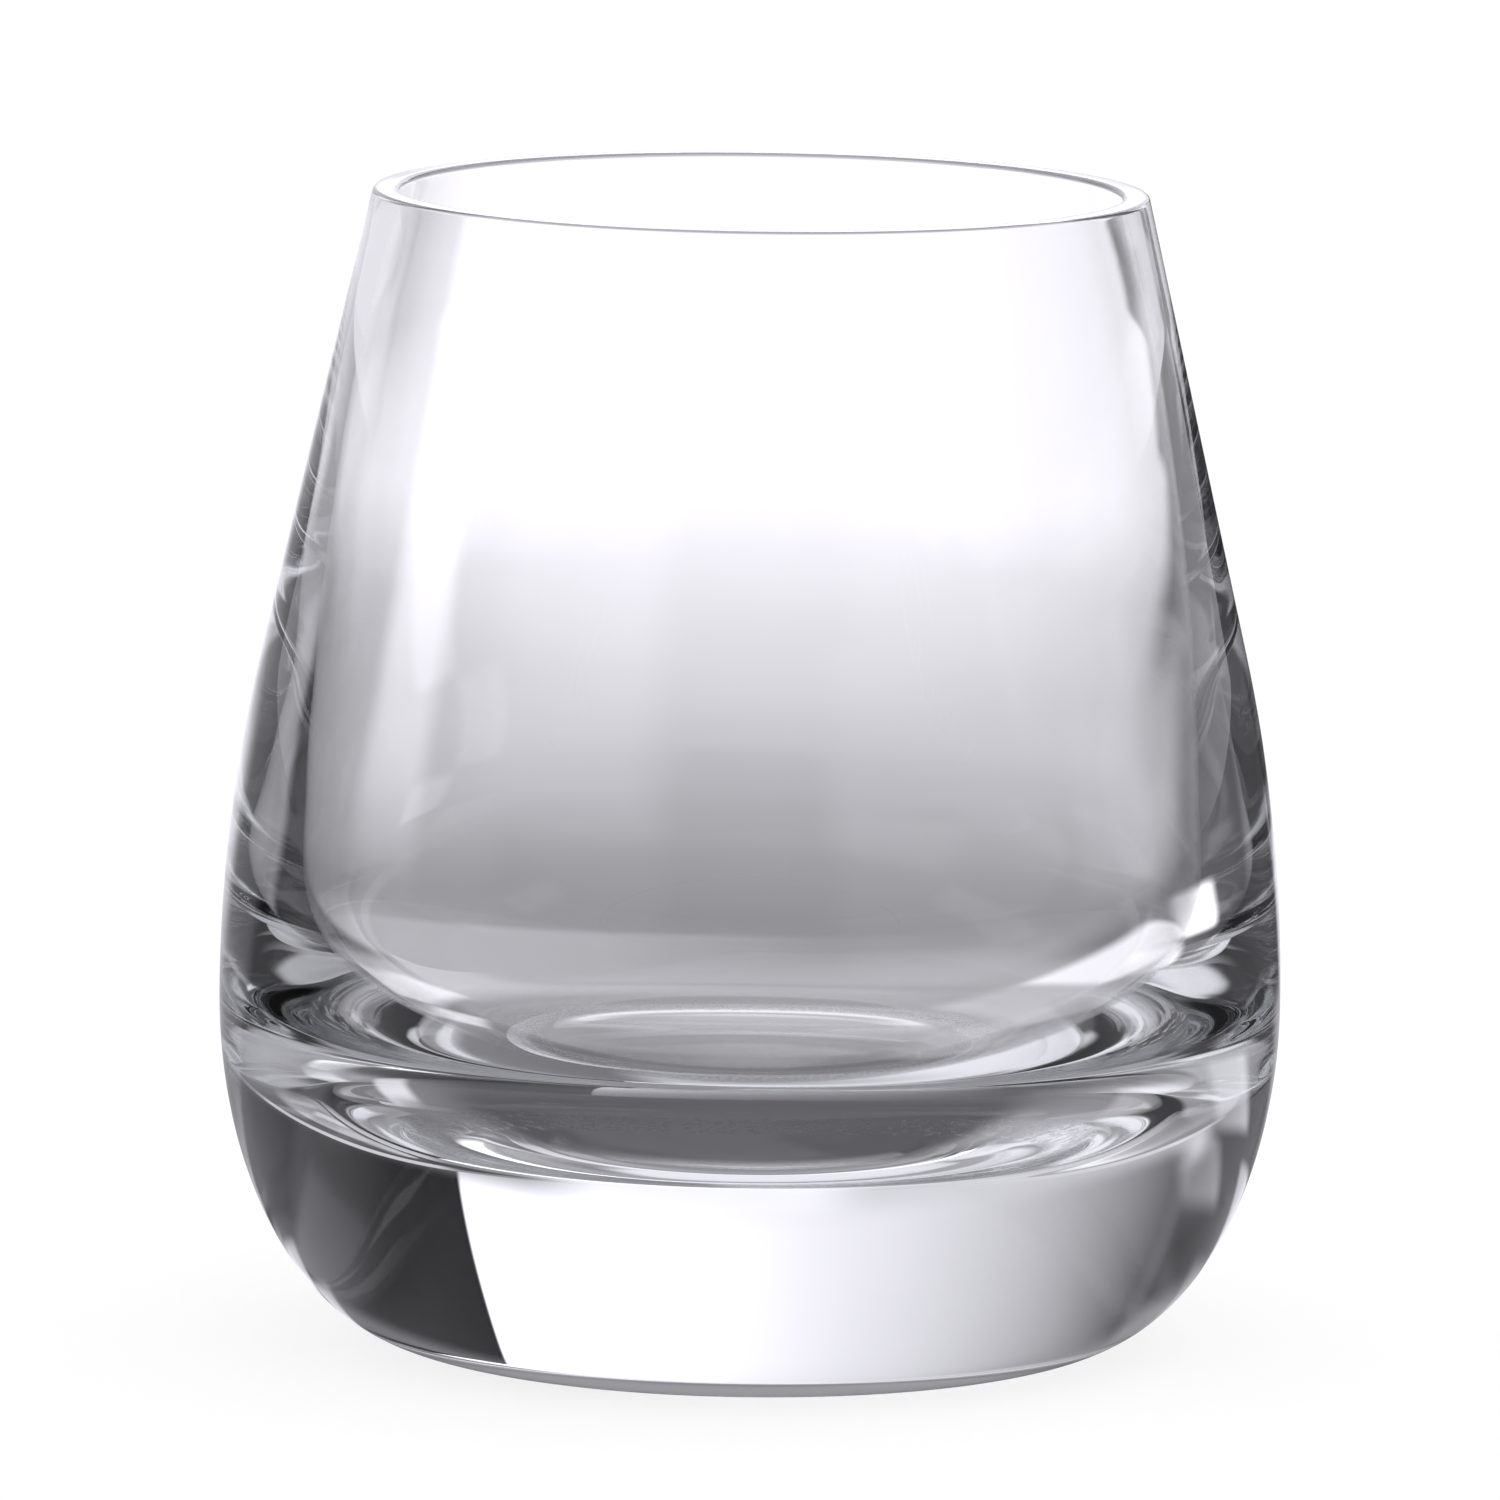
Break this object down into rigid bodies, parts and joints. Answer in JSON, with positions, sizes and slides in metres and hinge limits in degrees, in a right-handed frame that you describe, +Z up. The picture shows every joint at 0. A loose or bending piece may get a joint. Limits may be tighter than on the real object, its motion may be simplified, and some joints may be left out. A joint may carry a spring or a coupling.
{
  "type": "whisky tumbler",
  "caption": "Clear glass whisky tumbler with a rounded belly, walls that lean in to a flat, softened lip, and a thick solid base on a flat foot ring; it holds a drink in the hand.",
  "frame": {"origin": "centre of the foot ring, on the surface that the glass stands on", "axes": "+Z up along the axis of the glass, from the foot to the mouth; the glass is round, so +X and +Y are any two square directions"},
  "size_m": [0.088, 0.088, 0.0957],
  "materials": {
    "clear_glass": "polished, colourless, fire-polished at the lip"
  },
  "bodies": {
    "root": {"glass_body": "clear_glass"}
  },
  "joints": []
}
